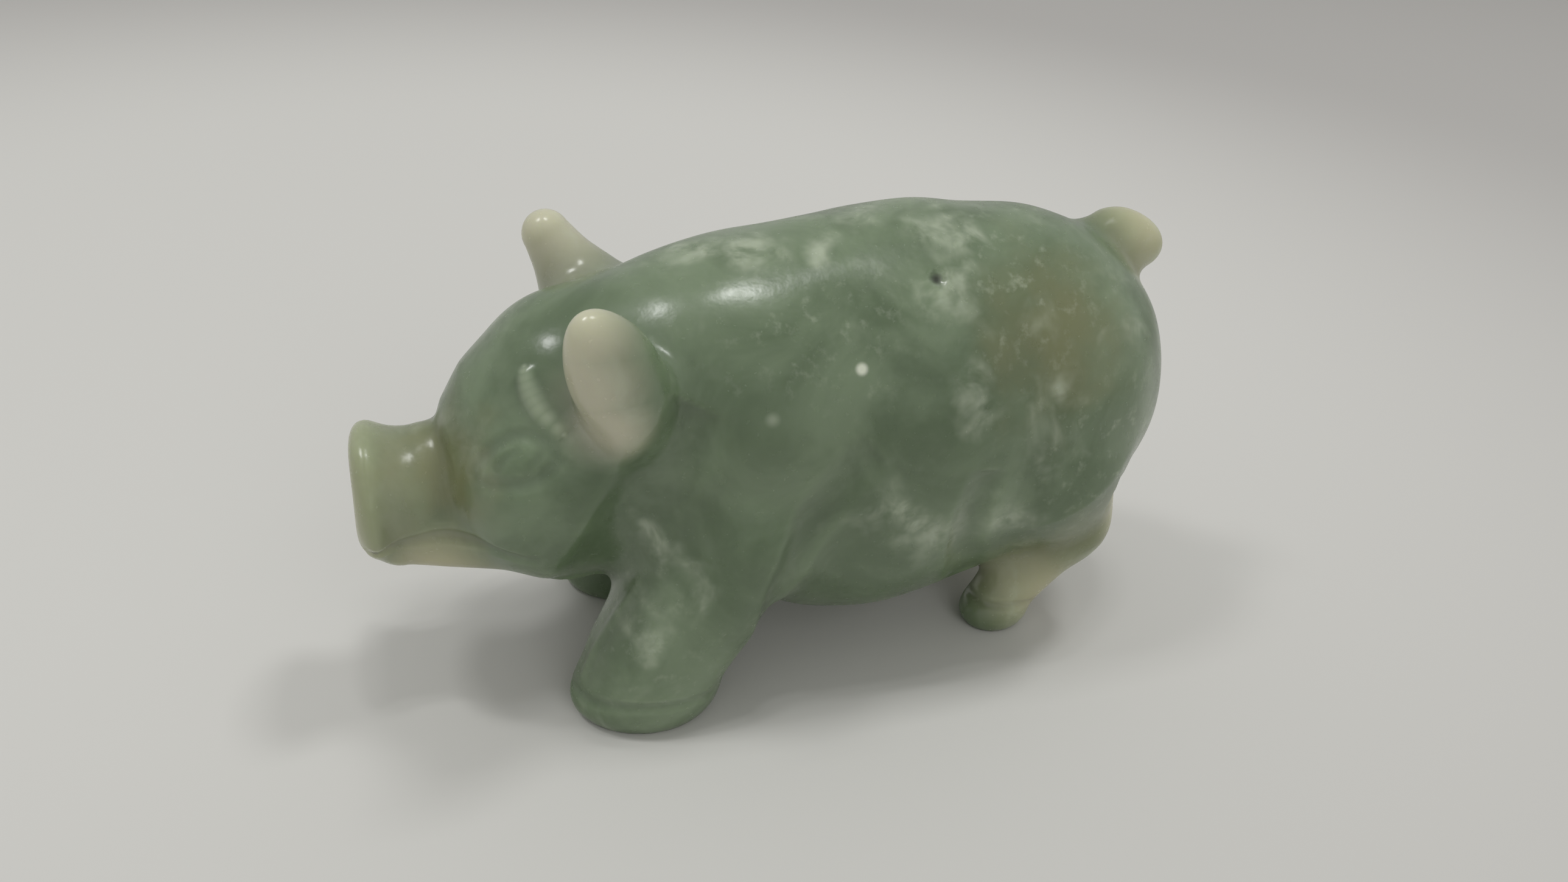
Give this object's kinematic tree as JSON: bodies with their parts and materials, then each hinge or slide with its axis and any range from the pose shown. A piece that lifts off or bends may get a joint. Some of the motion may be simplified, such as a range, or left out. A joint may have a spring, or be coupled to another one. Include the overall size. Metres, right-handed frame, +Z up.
{
  "type": "carved stone pig figurine",
  "caption": "Small pig carved from a single piece of mottled pale green stone, standing on its hooves, with raised ears, a disc snout, a pot belly and a curled tail.",
  "frame": {"origin": "on the floor under the middle of the pig, where its four soles rest", "axes": "+Z up, +Y towards the tail, so the snout points to -Y; +X towards the pig's left flank"},
  "size_m": [0.0368, 0.0912, 0.0506],
  "materials": {
    "jade": "polished, waxy, slightly translucent"
  },
  "bodies": {
    "root": {"carved_pig": "jade"}
  },
  "joints": []
}
